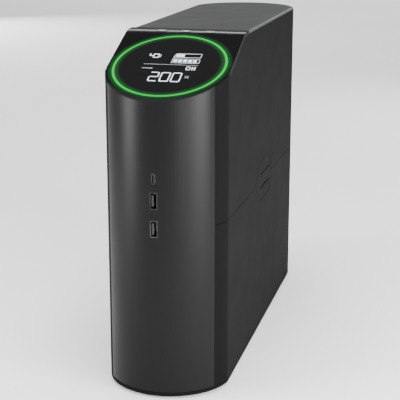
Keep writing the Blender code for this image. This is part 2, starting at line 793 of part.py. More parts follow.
def make_ports():
    make_port("usb_c", rounded_slot, USB_C_SIZE, USB_C_HEIGHT, 0.0008, 0)
    for place, height in USB_A_HEIGHTS.items():
        make_port(f"usb_a_{place}", rectangle, USB_A_SIZE, height, 0.0018, -0.0010)
    board_front = PORT_SETBACK - HALF_DEPTH + PORT_DEPTH + FIT
    heights = [USB_C_HEIGHT, *USB_A_HEIGHTS.values()]
    low = (-USB_BOARD_WIDTH / 2, board_front, min(heights) - USB_BOARD_MARGIN)
    high = (USB_BOARD_WIDTH / 2, board_front + BOARD_THICKNESS, max(heights) + USB_BOARD_MARGIN)
    finish(box("usb_board", low, high), "circuit_board")


# Rear shroud, panel and sockets ---------------------------------------------------------------


def make_rear_frame():
    reach = SEAM_ANGLE - SEAM_GAP_ANGLE
    steps = ARC_STEPS * 2
    arc = front_arc(0, -reach, reach, steps) + front_arc(WALL, -reach, reach, steps)[::-1]
    frame = prism("rear_frame", [(x, -y) for x, y in arc], COVER_BOTTOM, COVER_TOP - RIM_HEIGHT - GAP)
    high_part = prism("high_part", [(x, -y) for x, y in arc], COVER_TOP - RIM_HEIGHT * 2, COVER_TOP)
    join(frame, high_part)
    half, wall = SHROUD_WIDTH / 2, SHROUD_WALL
    low = (-half - wall, PANEL_OUT + GAP, SHROUD_BOTTOM - wall)
    tunnel = box("tunnel", low, (half + wall, BODY_DEPTH, SHROUD_TOP + wall))
    keep(tunnel, prism("body", body_outline(WALL / 2), 0, BODY_HEIGHT))
    join(frame, tunnel)
    mouth_low = (-half, PANEL_IN, SHROUD_BOTTOM)
    cut(frame, box("mouth", mouth_low, (half, BODY_DEPTH, SHROUD_TOP)))
    finish(frame, "case_plastic")


def outlet_heights():
    return [OUTLET_FIRST + i * OUTLET_PITCH for i in range(OUTLET_COUNT)]


def strip_span():
    """The lowest and highest point of an outlet strip's body behind the panel."""
    heights = outlet_heights()
    return heights[0] - OUTLET_PITCH / 2, heights[-1] + OUTLET_PITCH / 2


def cross_box(x, z, size, near, far):
    """Corners of a box centred at (x, z), of an (x, z) size, from one y to another."""
    return (x - size[0] / 2, near, z - size[1] / 2), (x + size[0] / 2, far, z + size[1] / 2)


def make_outlets():
    bottom, top = strip_span()
    for side, x in (("left", -OUTLET_X), ("right", OUTLET_X)):
        body_size = (STRIP_WIDTH - STRIP_LIP * 2, top - bottom - STRIP_LIP * 2)
        middle = (bottom + top) / 2
        lip = cross_box(x, middle, (STRIP_WIDTH, top - bottom), PANEL_OUT + FIT, PANEL_OUT + STRIP_PROUD)
        body = cross_box(x, middle, body_size, PANEL_OUT - STRIP_DEPTH, PANEL_OUT + STRIP_PROUD / 2)
        strip = join(box(f"outlet_strip_{side}", *body), box("lip", *lip))
        faces = [
            cross_box(x, z, OUTLET_FACE, PANEL_OUT, PANEL_OUT + STRIP_PROUD * 1.6) for z in outlet_heights()
        ]
        join(strip, boxes("faces", faces))
        mouth = PANEL_OUT + STRIP_PROUD * 2
        floor = mouth - SLOT_DEPTH
        slots = []
        for z in outlet_heights():
            slots.append(cross_box(x - BLADE_SPACING / 2, z + BLADE_RISE, NEUTRAL_SLOT, floor, mouth))
            slots.append(cross_box(x + BLADE_SPACING / 2, z + BLADE_RISE, HOT_SLOT, floor, mouth))
        cut(strip, boxes("blade_slots", slots))
        for z in outlet_heights():
            earth = moved(rod("earth", EARTH_RADIUS, 0, SLOT_DEPTH, 12), TO_REAR)
            cut(strip, moved(earth, Matrix.Translation((x, floor, z + BLADE_RISE - EARTH_DROP))))
        finish(strip, "socket_plastic")


def inlet_outline(size, chamfer):
    """The inlet's six-sided outline: a rectangle whose two upper corners are cut off."""
    x, z = size[0] / 2, size[1] / 2
    return [(-x, -z), (x, -z), (x, z - chamfer), (x - chamfer, z), (chamfer - x, z), (-x, z - chamfer)]


def make_inlet():
    out = PANEL_OUT + FIT + FLANGE_THICKNESS
    body = cross_box(INLET_X, INLET_Z, INLET_BODY, PANEL_OUT - INLET_DEPTH, out - FLANGE_THICKNESS / 2)
    flange = cross_box(INLET_X, INLET_Z, INLET_FLANGE, PANEL_OUT + FIT, out)
    housing = join(box("inlet_housing", *body), box("flange", *flange))
    cavity = shifted(inlet_outline(INLET_CAVITY, INLET_CHAMFER), INLET_X, INLET_Z)
    cavity_floor = out - INLET_CAVITY_DEPTH
    cut(housing, prism_along_y("cavity", cavity, cavity_floor, out + WALL))
    pins = []
    holes = []
    for x, drop in ((-PIN_SPACING, PIN_DROP), (0, -PIN_DROP), (PIN_SPACING, PIN_DROP)):
        place = (INLET_X + x, INLET_Z - drop)
        hole_size = (PIN_SIZE[0] + FIT * 2, PIN_SIZE[1] + FIT * 2)
        pins.append(cross_box(*place, PIN_SIZE, PANEL_OUT - INLET_DEPTH - WALL, cavity_floor + PIN_LENGTH))
        holes.append(cross_box(*place, hole_size, 0, cavity_floor + WALL))
    cut(housing, boxes("pin_holes", holes))
    finish(housing, "socket_plastic")
    back = PANEL_OUT - INLET_DEPTH - FIT
    carrier_size = (INLET_CAVITY[0], INLET_CAVITY[1] * 0.7)
    carrier = box("inlet_contacts", *cross_box(INLET_X, INLET_Z, carrier_size, back - WALL, back))
    finish(join(carrier, boxes("pins", pins)), "steel")


def make_breaker():
    place = Matrix.Translation((BREAKER_X, PANEL_OUT, BREAKER_Z)) @ TO_REAR
    bore = BREAKER_BUTTON_RADIUS + FIT
    bushing = turned(
        "breaker_bushing",
        [
            (bore, FIT),
            (bore, BREAKER_PROUD),
            (BREAKER_COLLAR - 0.001, BREAKER_PROUD),
            (BREAKER_COLLAR, BREAKER_PROUD - 0.001),
            (BREAKER_COLLAR, FIT),
            (BREAKER_RADIUS, FIT),
            (BREAKER_RADIUS, -BREAKER_DEPTH),
            (0, -BREAKER_DEPTH),
            (0, -BREAKER_DEPTH / 2),
            (bore, -BREAKER_DEPTH / 2),
        ],
        SMALL_STEPS,
    )
    finish(bushing, "socket_plastic", None)
    bushing.matrix_world = place
    button = rod("breaker_button", BREAKER_BUTTON_RADIUS, -BREAKER_DEPTH / 2 + FIT, BREAKER_PROUD * 1.5)
    finish(button, "socket_plastic")
    button.matrix_world = place


def make_jack(name, height, cavity, tongue=None):
    """A plastic jack with a cavity, a keyed notch for a network plug or a tongue for a data plug."""
    mouth = PANEL_OUT + JACK_PROUD
    floor = mouth - JACK_DEPTH * 0.75
    jack = box(name, *cross_box(JACK_X, height, JACK_SIZE, PANEL_OUT - JACK_DEPTH, mouth))
    cuts = [cross_box(JACK_X, height, cavity, floor, mouth + WALL)]
    cut(jack, boxes("cavity", cuts))
    if tongue:
        join(jack, box("tongue", *cross_box(JACK_X, height, tongue, floor - FIT, mouth - FIT * 2)))
    else:
        bottom = height - cavity[1] / 2
        for width, drop in JACK_NOTCHES:
            notch = cross_box(JACK_X, bottom - drop / 2, (width, drop + FIT), floor, mouth + WALL)
            cut(jack, box("notch", *notch))
            bottom -= drop
    finish(jack, "socket_plastic")


def make_jacks():
    for name, height in NETWORK_HEIGHTS.items():
        make_jack(f"network_jack_{name}", height, JACK_CAVITY)
    make_jack("data_port", DATA_HEIGHT, DATA_CAVITY, DATA_TONGUE)


def screw_places():
    half = FAN_HOLE_SPACING / 2
    return [(FAN_X + i * half, FAN_Z + j * half) for i in (-1, 1) for j in (-1, 1)]


def make_rear_panel():
    bottom = BASE_TOP + RIM_HEIGHT + GAP
    top = BODY_HEIGHT - TOP_THICKNESS - RIM_HEIGHT - GAP
    side = INNER_HALF - GAP
    panel = box("rear_panel", (-side, PANEL_IN, bottom), (side, PANEL_OUT, top))
    near, far = PANEL_IN - WALL, PANEL_OUT + WALL
    low, high = strip_span()
    strip_size = (STRIP_WIDTH - STRIP_LIP * 2 + FIT * 2, high - low - STRIP_LIP * 2 + FIT * 2)
    inlet_size = (INLET_BODY[0] + FIT * 2, INLET_BODY[1] + FIT * 2)
    jack_size = (JACK_SIZE[0] + FIT * 2, JACK_SIZE[1] + FIT * 2)
    openings = [cross_box(x, (low + high) / 2, strip_size, near, far) for x in (-OUTLET_X, OUTLET_X)]
    openings.append(cross_box(INLET_X, INLET_Z, inlet_size, near, far))
    heights = [*NETWORK_HEIGHTS.values(), DATA_HEIGHT]
    openings += [cross_box(JACK_X, height, jack_size, near, far) for height in heights]
    for i in range(GRILLE_SLOTS):
        rise = (i - (GRILLE_SLOTS - 1) / 2) * GRILLE_PITCH
        width = 2 * math.sqrt(GRILLE_RADIUS**2 - rise**2)
        openings.append(cross_box(FAN_X, FAN_Z + rise, (width, GRILLE_SLOT), near, far))
    cut(panel, boxes("openings", openings))
    holes = [(BREAKER_X, BREAKER_Z, BREAKER_RADIUS + FIT)]
    holes += [(x, z, SCREW_HOLE) for x, z in screw_places()]
    for x, z, radius in holes:
        hole = moved(rod("hole", radius, near, far), TO_REAR)
        cut(panel, moved(hole, Matrix.Translation((x, 0, z))))
    finish(panel, "case_plastic")


def make_fan():
    """The square frame and, on its own frame with the axis along +Y, the spinning rotor."""
    half = FAN_SIZE / 2
    low = (FAN_X - half, FAN_BACK - FAN_DEPTH, FAN_Z - half)
    frame = box("fan_frame", low, (FAN_X + half, FAN_BACK, FAN_Z + half))
    place = Matrix.Translation((FAN_X, FAN_BACK - FAN_DEPTH, FAN_Z)) @ TO_REAR
    cut(frame, moved(rod("bore", FAN_BORE, -WALL, FAN_DEPTH + WALL, 48), place))
    thick = 0.0018
    bars = [((-half + 0.001, -0.0015, 0), (half - 0.001, 0.0015, thick))]
    bars.append(((-0.0015, -half + 0.001, 0), (0.0015, half - 0.001, thick)))
    spider = join(boxes("bar", bars[:1]), boxes("cross_bar", bars[1:]))
    join(spider, rod("seat", FAN_HUB, 0, thick))
    join(frame, moved(spider, place))
    for x, z in screw_places():
        hole = moved(rod("hole", SCREW_HOLE, -FAN_DEPTH * 2, WALL), TO_REAR)
        cut(frame, moved(hole, Matrix.Translation((x, FAN_BACK, z))))
    finish(frame, "socket_plastic")

    rotor = rod("fan_rotor", FAN_HUB, thick + GAP * 2, FAN_DEPTH - GAP * 2, 32)
    bm = bmesh.new()
    middle = (thick + FAN_DEPTH) / 2
    inner = FAN_HUB * 0.8
    size = (FAN_BLADE_TIP - inner, FAN_BLADE_CHORD, FAN_BLADE_THICKNESS)
    for i in range(FAN_BLADES):
        turn = Matrix.Rotation(2 * math.pi * i / FAN_BLADES, 4, "Z")
        out = Matrix.Translation(((FAN_BLADE_TIP + inner) / 2, 0, middle))
        tilt = Matrix.Rotation(FAN_BLADE_PITCH, 4, "X")
        bmesh.ops.create_cube(bm, size=1, matrix=turn @ out @ tilt @ Matrix.Diagonal((*size, 1)))
    join(rotor, new_object("blades", bm))
    finish(rotor, "socket_plastic", frame_empty("fan_axis", place))


def make_screws():
    profile = [
        (0, -SCREW_LENGTH),
        (SCREW_RADIUS, -SCREW_LENGTH),
        (SCREW_RADIUS, FIT),
        (SCREW_HEAD, FIT),
        (SCREW_HEAD, SCREW_HEAD_HEIGHT * 0.6),
        (SCREW_HEAD * 0.6, SCREW_HEAD_HEIGHT),
        (0, SCREW_HEAD_HEIGHT),
    ]
    for i, (x, z) in enumerate(screw_places(), start=1):
        screw = turned(f"fan_screw_{i}", profile, 16)
        reach = SCREW_HEAD * 0.65
        top = SCREW_HEAD_HEIGHT
        for size_x, size_y in ((reach, SCREW_RADIUS / 4), (SCREW_RADIUS / 4, reach)):
            cut(screw, box("drive", (-size_x, -size_y, top / 2), (size_x, size_y, top * 2)))
        finish(screw, "steel")
        screw.matrix_world = Matrix.Translation((x, PANEL_OUT, z)) @ TO_REAR


# Battery --------------------------------------------------------------------------------------


def bay_front():
    return BAY_REAR - BATTERY_LENGTH - (BAY_WALL + BAY_PLAY) * 2


def bay_height():
    return BATTERY_HEIGHT * 2 + BAY_PLAY * 3


def battery_mouth():
    """The x of the batteries' outer ends, whose terminals stop short of the door."""
    return INNER_HALF - BAY_PLAY - TERMINAL_LENGTH


def make_bay():
    """A tray that is open towards the door."""
    floor = COVER_BOTTOM
    left = battery_mouth() - BATTERY_DEPTH - BAY_PLAY
    low = (left - BAY_WALL, bay_front(), floor)
    high = (battery_mouth(), BAY_REAR, floor + bay_height() + BAY_WALL * 2)
    bay = box("battery_bay", low, high)
    inner_low = (left, bay_front() + BAY_WALL, floor + BAY_WALL)
    cut(bay, box("inside", inner_low, (BODY_WIDTH, BAY_REAR - BAY_WALL, high[2] - BAY_WALL)))
    finish(bay, "chassis_steel")


def make_batteries():
    front = bay_front() + BAY_WALL + BAY_PLAY
    mouth = battery_mouth()
    for i, name in enumerate(("battery_lower", "battery_upper")):
        bottom = COVER_BOTTOM + BAY_WALL + BAY_PLAY + i * (BATTERY_HEIGHT + BAY_PLAY)
        low = (mouth - BATTERY_DEPTH, front, bottom)
        battery = box(name, low, (mouth, front + BATTERY_LENGTH, bottom + BATTERY_HEIGHT))
        tabs = []
        for y in (front + 0.006, front + BATTERY_LENGTH - 0.012):
            z = bottom + BATTERY_HEIGHT / 2
            tab_low = (mouth - GAP, y, z - TERMINAL_SIZE[1] / 2)
            tabs.append((tab_low, (mouth + TERMINAL_LENGTH - GAP, y + TERMINAL_SIZE[0], z + TERMINAL_SIZE[1] / 2)))
        join(battery, boxes("terminals", tabs))
        finish(battery, "battery_case")

    middle = front + BATTERY_LENGTH / 2
    seam = COVER_BOTTOM + BAY_WALL + BAY_PLAY * 1.5 + BATTERY_HEIGHT
    depth = TERMINAL_LENGTH - FIT
    low = (mouth + FIT, middle + 0.018, seam - 0.012)
    connector = box("battery_connector", low, (mouth + depth, middle + 0.050, seam + 0.012))
    finish(connector, "socket_plastic")
    low = (mouth + FIT, middle - 0.045, seam - 0.020)
    strap = box("battery_pull_strap", low, (mouth + FIT + 0.0015, middle - 0.020, seam + 0.045))
    finish(strap, "strap")


# Transformer and electronics ------------------------------------------------------------------


def make_transformer():
    front = CORE_REAR - CORE_LENGTH
    middle = (front + CORE_REAR) / 2
    bottom = COVER_BOTTOM + BAY_PLAY
    half = CORE_STACK / 2
    core = box("transformer_core", (-half, front, bottom), (half, CORE_REAR, bottom + CORE_HEIGHT))
    window = (CORE_LENGTH - CORE_LEG * 4) / 2
    low_z, high_z = bottom + CORE_LEG, bottom + CORE_HEIGHT - CORE_LEG
    windows = [
        ((-BODY_WIDTH, middle - CORE_LEG - window, low_z), (BODY_WIDTH, middle - CORE_LEG, high_z)),
        ((-BODY_WIDTH, middle + CORE_LEG, low_z), (BODY_WIDTH, middle + CORE_LEG + window, high_z)),
    ]
    cut(core, boxes("windows", windows))
    finish(core, "core_iron")

    play = COIL_PLAY
    reach = CORE_LEG + window - play
    low = (-COIL_WIDTH / 2, middle - reach, low_z + play)
    coil = box("transformer_coil", low, (COIL_WIDTH / 2, middle + reach, high_z - play))
    inner_low = (-half - play, middle - CORE_LEG - play, 0)
    cut(coil, box("leg", inner_low, (half + play, middle + CORE_LEG + play, BODY_HEIGHT)))
    finish(coil, "winding")


def make_electronics():
    shelf_top = SHELF_HEIGHT + SHELF_THICKNESS
    side = INNER_HALF - WALL * 2
    low = (-side, SHELF_FRONT, SHELF_HEIGHT)
    shelf = box("chassis_shelf", low, (side, BAY_REAR, shelf_top))
    join(shelf, box("lip", (-side, SHELF_FRONT, SHELF_HEIGHT), (side, SHELF_FRONT + SHELF_THICKNESS, shelf_top + 0.010)))
    finish(shelf, "chassis_steel")

    board_bottom = shelf_top + MAIN_BOARD_RISE
    board_top = board_bottom + BOARD_THICKNESS
    half = MAIN_BOARD_WIDTH / 2
    board = box("main_board", (-half, MAIN_BOARD_FRONT, board_bottom), (half, MAIN_BOARD_REAR, board_top))
    posts = [
        ((x - 0.002, y - 0.002, shelf_top + FIT), (x + 0.002, y + 0.002, board_bottom + GAP))
        for x in (0.006 - half, half - 0.006)
        for y in (MAIN_BOARD_FRONT + 0.006, MAIN_BOARD_REAR - 0.006)
    ]
    join(board, boxes("posts", posts))
    finish(board, "circuit_board")

    size_x, size_y, size_z = HEATSINK_SIZE
    bottom = board_top + FIT
    left, front = HEATSINK_X - size_x / 2, HEATSINK_Y - size_y / 2
    sink = box("heatsink", (left, front, bottom), (left + size_x, front + size_y, bottom + HEATSINK_BASE))
    step = (size_x - FIN_THICKNESS) / (HEATSINK_FINS - 1)
    fins = []
    for i in range(HEATSINK_FINS):
        x = left + i * step
        fins.append(((x, front, bottom + GAP), (x + FIN_THICKNESS, front + size_y, bottom + size_z)))
    join(sink, boxes("fins", fins))
    finish(sink, "aluminium")

    for i, y in enumerate(CAPACITOR_YS, start=1):
        rim = CAPACITOR_RADIUS - 0.001
        profile = [
            (0, 0),
            (CAPACITOR_RADIUS, 0),
            (CAPACITOR_RADIUS, CAPACITOR_HEIGHT - 0.001),
            (rim, CAPACITOR_HEIGHT),
            (0, CAPACITOR_HEIGHT),
        ]
        can = turned(f"capacitor_{i}", profile, SMALL_STEPS)
        can.location = (CAPACITOR_X, y, bottom)
        finish(can, "battery_case")


def main():
    clear_scene()
    make_base()
    make_feet()
    make_fascia()
    make_side_covers()
    make_latch()
    make_top()
    make_bezel()
    face = frame_empty("face_frame", FACE_FRAME)
    make_display(face)
    make_buttons(face, frame_empty("bend_frame", BUTTON_FRAME))
    make_ports()
    make_rear_frame()
    make_rear_panel()
    make_outlets()
    make_inlet()
    make_breaker()
    make_jacks()
    make_fan()
    make_screws()
    make_bay()
    make_batteries()
    make_transformer()
    make_electronics()


main()
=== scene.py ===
"""Looks of a tower uninterruptible power supply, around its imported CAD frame.

Every position comes from the frame. The CAD nodes keep their shapes and get materials here, and the
small things that the CAD leaves out are added: the lit display, button marks, gold contacts, plated
socket contacts, and the parts on the boards.
"""

import math

import bmesh
import bpy
from mathutils import Matrix, Vector


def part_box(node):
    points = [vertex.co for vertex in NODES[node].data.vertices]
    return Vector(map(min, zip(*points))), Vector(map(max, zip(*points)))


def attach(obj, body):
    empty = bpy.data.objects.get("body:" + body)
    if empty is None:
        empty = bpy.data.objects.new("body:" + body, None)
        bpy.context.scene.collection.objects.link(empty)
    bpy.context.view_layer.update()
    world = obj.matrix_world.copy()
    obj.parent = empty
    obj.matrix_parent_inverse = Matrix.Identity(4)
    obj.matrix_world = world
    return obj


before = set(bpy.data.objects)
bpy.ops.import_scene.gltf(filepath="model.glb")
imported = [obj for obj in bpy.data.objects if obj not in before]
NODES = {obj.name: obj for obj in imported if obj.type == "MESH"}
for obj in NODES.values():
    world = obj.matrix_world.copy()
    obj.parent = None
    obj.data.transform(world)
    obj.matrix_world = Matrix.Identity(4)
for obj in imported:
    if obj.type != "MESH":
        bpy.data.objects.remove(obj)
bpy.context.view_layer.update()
CASE = "case"  # the body that holds everything fixed
MM = 0.001

# Camera, with its angles in radians
CAMERA_LENS = 101.64  # mm, on a 36 mm sensor
CAMERA_YAW = 0.2471
CAMERA_PITCH = 0.2611
CAMERA_DISTANCE = 1.11566
CAMERA_TARGET = Vector((-0.00615, -0.01776, 0.12994))

# Studio
FLOOR_HALF = 12.0
WORLD_STRENGTH = 0.20
LIGHT_TARGET = (0.0, -0.14, 0.16)
# name, azimuth from the front towards +X, distance, height, (width, length), watts
SIDE_LIGHTS = (
    ("left_strip", -52, 1.0, 0.26, (0.36, 0.45), 17),
    ("right_strip", 60, 1.0, 0.26, (0.44, 0.45), 24),
    ("right_wash", 36, 1.2, 0.28, (0.54, 0.45), 13),
    ("edge_light", 164.6, 1.5, 0.67, (0.40, 0.3), 6),
    ("rear_fill", 218, 3.0, 0.70, (1.2, 1.0), 38),
)
# name, (x, y, height), (width, length), watts
CEILING_LIGHTS = (
    ("overhead", (0.0, -0.3, 2.6), (2.0, 2.0), 90),
    ("far_floor", (0.0, 4.6, 3.0), (6.0, 2.0), 200),
)

# Light ring
RING_COLOUR = (0.0, 0.27, 0.020)
RING_EDGE_COLOUR = (0.0, 0.10, 0.008)
RING_STRENGTH = 1.0
# Painted glow: green emission on the gloss bezel and window next to the ring, standing in for the ring's
# light spilling into them
PAINTED_GLOW_COLOUR = (0.0, 0.16, 0.016)
PAINTED_GLOW_STRENGTH = 0.75
PAINTED_GLOW_WIDTH = 0.0060
MARK_COLOUR = (0.85, 0.92, 1.0)

# Sizes of small contacts
OUTLETS_PER_STRIP = 5
BLADE_OFFSET = 6.35 * MM  # each blade from the outlet's middle
JACK_WIRES = 8
JACK_WIRE_PITCH = 1.02 * MM
JACK_WIRE_RADIUS = 0.18 * MM
CHIP_LEG_PITCH = 1.27 * MM


# Materials ------------------------------------------------------------------------------------


class Paint:
    """One node material round a Principled shader."""

    def __init__(self, name):
        self.material = bpy.data.materials.new(name)
        self.material.use_nodes = True
        self.tree = self.material.node_tree
        self.surface = self.tree.nodes["Principled BSDF"]
        self.place = self.add("TexCoord").outputs["Object"]

    def put(self, socket, value):
        if isinstance(value, bpy.types.NodeSocket):
            self.tree.links.new(value, socket)
        else:
            socket.default_value = value

    def add(self, kind, inputs=None, **settings):
        node = self.tree.nodes.new(f"ShaderNode{kind}")
        for name, value in settings.items():
            setattr(node, name, value)
        for name, value in (inputs or {}).items():
            self.put(node.inputs[name], value)
        return node

    def set(self, **values):
        for name, value in values.items():
            self.put(self.surface.inputs[name.replace("_", " ")], value)
        return self

    def maths(self, operation, first, second=0.0):
        return self.add("Math", {0: first, 1: second}, operation=operation).outputs[0]

    def vector(self, operation, first, second=(0, 0, 0)):
        node = self.add("VectorMath", {0: first, 1: second}, operation=operation)
        return node.outputs["Value" if operation in ("DOT_PRODUCT", "LENGTH") else "Vector"]

    def part(self, axis, place=None):
        """One coordinate of the position."""
        split = self.add("SeparateXYZ", {"Vector": place or self.place})
        return split.outputs[axis]

    def noise(self, scale, detail=4.0, stretch=(1, 1, 1)):
        place = self.vector("MULTIPLY", self.place, stretch) if stretch != (1, 1, 1) else self.place
        inputs = {"Vector": place, "Scale": scale, "Detail": detail, "Roughness": 0.6}
        return self.add("TexNoise", inputs).outputs["Fac"]

    def ramp(self, value, low, high, to_low, to_high):
        """The value mapped from one range to another, and held at its ends."""
        inputs = {"Value": value, "From Min": low, "From Max": high, "To Min": to_low, "To Max": to_high}
        return self.add("MapRange", inputs, interpolation_type="SMOOTHSTEP").outputs["Result"]

    def blend(self, share, first, second):
        node = self.add("MixRGB", {"Fac": share})
        for name, colour in (("Color1", first), ("Color2", second)):
            whole = colour if isinstance(colour, bpy.types.NodeSocket) else (*colour, 1)
            self.put(node.inputs[name], whole)
        return node.outputs["Color"]

    def bump(self, height, distance, strength=1.0):
        node = self.add("Bump", {"Height": height, "Distance": distance, "Strength": strength})
        self.put(self.surface.inputs["Normal"], node.outputs["Normal"])
        return self


def moulded(name, dark, light, roughness, specular, grain=1700.0, depth=0.00004):
    """Spark-eroded plastic: fine grain, faint flow marks, and a little handling shine."""
    paint = Paint(name)
    flow = paint.noise(9.0, 3.0, (1.0, 1.0, 0.35))
    fine = paint.noise(grain, 2.0)
    wear = paint.noise(38.0, 5.0)
    tone = paint.blend(paint.ramp(flow, 0.3, 0.7, 0.0, 1.0), dark, light)
    speck = paint.blend(paint.ramp(fine, 0.35, 0.75, 0.0, 0.35), tone, light)
    low, high = roughness
    paint.set(Base_Color=speck, Roughness=paint.ramp(wear, 0.3, 0.7, low, high), Specular_IOR_Level=specular)
    return paint.bump(fine, depth, 0.5).material


def glossy(name, colour, roughness, specular):
    """Polished black plastic with smears and dust, duller on faces that look sideways."""
    paint = Paint(name)
    smear = paint.noise(26.0, 5.0, (1.0, 1.0, 2.0))
    dust = paint.noise(900.0, 2.0)
    tint = tuple(c * 1.8 + 0.001 for c in colour)
    low, high = roughness
    sideways = paint.maths("ABSOLUTE", paint.part("X", paint.add("NewGeometry").outputs["Normal"]))
    edge = paint.ramp(sideways, 0.5, 0.9, 0.0, 0.5)
    shine = paint.ramp(smear, 0.3, 0.75, low, high)
    paint.set(
        Base_Color=paint.blend(paint.ramp(dust, 0.62, 0.80, 0.0, 0.5), colour, tint),
        Roughness=paint.maths("ADD", shine, edge),
        Specular_IOR_Level=specular,
    )
    return paint.bump(paint.noise(60.0, 2.0), 0.00002, 0.25)


def ring_distance(paint):
    """How far a point is from the light ring's middle line, along the sloping face."""
    offset = paint.vector("SUBTRACT", paint.place, tuple(FACE.translation))
    along = paint.maths("POWER", paint.vector("DOT_PRODUCT", offset, tuple(FACE.col[0][:3])), 2.0)
    up = paint.maths("POWER", paint.vector("DOT_PRODUCT", offset, tuple(FACE.col[1][:3])), 2.0)
    radius = paint.maths("SQRT", paint.maths("ADD", along, up))
    return paint.maths("ABSOLUTE", paint.maths("SUBTRACT", radius, RING_RADIUS))


def gloss_with_painted_glow(name, colour, roughness, specular):
    """Gloss plastic with a painted glow: green emission near the ring that stands in for the ring's light
    spilling into the plastic.
    """
    paint = glossy(name, colour, roughness, specular)
    away = ring_distance(paint)
    fade = paint.ramp(away, RING_HALF, PAINTED_GLOW_WIDTH, 1.0, 0.0)
    mottle = paint.ramp(paint.noise(160.0), 0.2, 0.8, 0.85, 1.15)
    shine = paint.maths("MULTIPLY", fade, mottle)
    glow = paint.blend(shine, (0.0, 0.0, 0.0), PAINTED_GLOW_COLOUR)
    # painted glow: emission on plastic that is no lamp, fading with distance from the ring
    paint.set(Emission_Color=glow, Emission_Strength=PAINTED_GLOW_STRENGTH)
    return paint.material


def ring_glow(name):
    """The ring's light guide: a bright green core that darkens towards both edges."""
    paint = Paint(name)
    uneven = paint.ramp(paint.noise(110.0, 3.0), 0.3, 0.7, 0.9, 1.1)
    core = paint.maths("MULTIPLY", paint.ramp(ring_distance(paint), 0.0002, RING_HALF, 1.0, 0.0), uneven)
    glow = paint.blend(core, RING_EDGE_COLOUR, RING_COLOUR)
    paint.set(
        Base_Color=glow,
        Emission_Color=glow,
        Emission_Strength=RING_STRENGTH,
        Roughness=paint.ramp(core, 0.0, 1.0, 0.38, 0.28),
    )
    return paint.bump(paint.noise(420.0, 2.0), 0.00003, 0.3).material


def lit(name, colour, strength, spread=0.15):
    """A lit mark, a little uneven as a diffuser is."""
    paint = Paint(name)
    uneven = paint.ramp(paint.noise(110.0, 3.0), 0.3, 0.7, 0.0, 1.0)
    dim = tuple(c * (1 - spread) for c in colour)
    paint.set(
        Base_Color=paint.blend(uneven, tuple(c * 0.5 for c in dim), tuple(c * 0.6 for c in colour)),
        Emission_Color=paint.blend(uneven, dim, colour),
        Emission_Strength=strength,
        Roughness=paint.ramp(uneven, 0.0, 1.0, 0.28, 0.40),
    )
    return paint.bump(paint.noise(420.0, 2.0), 0.00003, 0.3).material


def rubber(name):
    """Fine-grained black rubber with dust on it."""
    paint = Paint(name)
    fine = paint.noise(1100.0, 3.0)
    dust = paint.ramp(paint.noise(70.0, 5.0), 0.4, 0.8, 0.0, 0.6)
    paint.set(
        Base_Color=paint.blend(dust, (0.012, 0.012, 0.012), (0.045, 0.043, 0.040)),
        Roughness=paint.ramp(dust, 0.0, 0.6, 0.72, 0.90),
    )
    return paint.bump(fine, 0.00006, 0.6).material


def metal(name, dark, light, roughness, brush=(1.0, 1.0, 1.0), scale=220.0, spangle=0.0):
    """Bare or plated metal with a directional brush and, where it is galvanised, its spangles."""
    paint = Paint(name)
    lines = paint.noise(scale, 6.0, brush)
    tone = paint.ramp(lines, 0.3, 0.7, 0.0, 1.0)
    if spangle:
        cells = paint.add("TexVoronoi", {"Vector": paint.place, "Scale": spangle}).outputs["Color"]
        shade = paint.part("X", cells)
        tone = paint.maths("MULTIPLY", paint.maths("ADD", tone, shade), 0.5)
    low, high = roughness
    paint.set(
        Base_Color=paint.blend(tone, dark, light),
        Metallic=1.0,
        Roughness=paint.ramp(tone, 0.0, 1.0, low, high),
    )
    return paint.bump(lines, 0.00003, 0.35).material


def striped(name, dark, light, pitch, axis, metallic, roughness, depth):
    """Layers or turns: laminations of an iron core, or the wires of a coil."""
    paint = Paint(name)
    along = paint.part(axis)
    wobble = paint.maths("MULTIPLY", paint.noise(60.0, 3.0), pitch * 0.25)
    turns = paint.maths("MULTIPLY", paint.maths("ADD", along, wobble), 2 * math.pi / pitch)
    wave = paint.ramp(paint.maths("SINE", turns), -1.0, 1.0, 0.0, 1.0)
    varnish = paint.ramp(paint.noise(35.0, 5.0), 0.3, 0.7, 0.4, 1.0)
    low, high = roughness
    paint.set(
        Base_Color=paint.blend(paint.maths("MULTIPLY", wave, varnish), dark, light),
        Metallic=metallic,
        Roughness=paint.ramp(wave, 0.0, 1.0, high, low),
    )
    return paint.bump(wave, depth, 0.8).material


def circuit_board(name):
    """Green solder mask over copper tracks, with pale legend dots."""
    paint = Paint(name)
    cells = paint.add("TexVoronoi", {"Vector": paint.place, "Scale": 150.0}, feature="DISTANCE_TO_EDGE")
    track = paint.ramp(cells.outputs["Distance"], 0.03, 0.06, 1.0, 0.0)
    board = paint.blend(track, (0.006, 0.050, 0.018), (0.018, 0.110, 0.040))
    dots = paint.add("TexVoronoi", {"Vector": paint.place, "Scale": 420.0}).outputs["Distance"]
    pads = paint.ramp(dots, 0.10, 0.14, 0.7, 0.0)
    grime = paint.ramp(paint.noise(50.0, 5.0), 0.4, 0.8, 0.0, 0.4)
    colour = paint.blend(pads, board, (0.42, 0.42, 0.40))
    paint.set(
        Base_Color=paint.blend(grime, colour, (0.015, 0.030, 0.016)),
        Roughness=paint.ramp(grime, 0.0, 0.4, 0.30, 0.55),
    )
    return paint.bump(track, 0.00004, 0.5).material


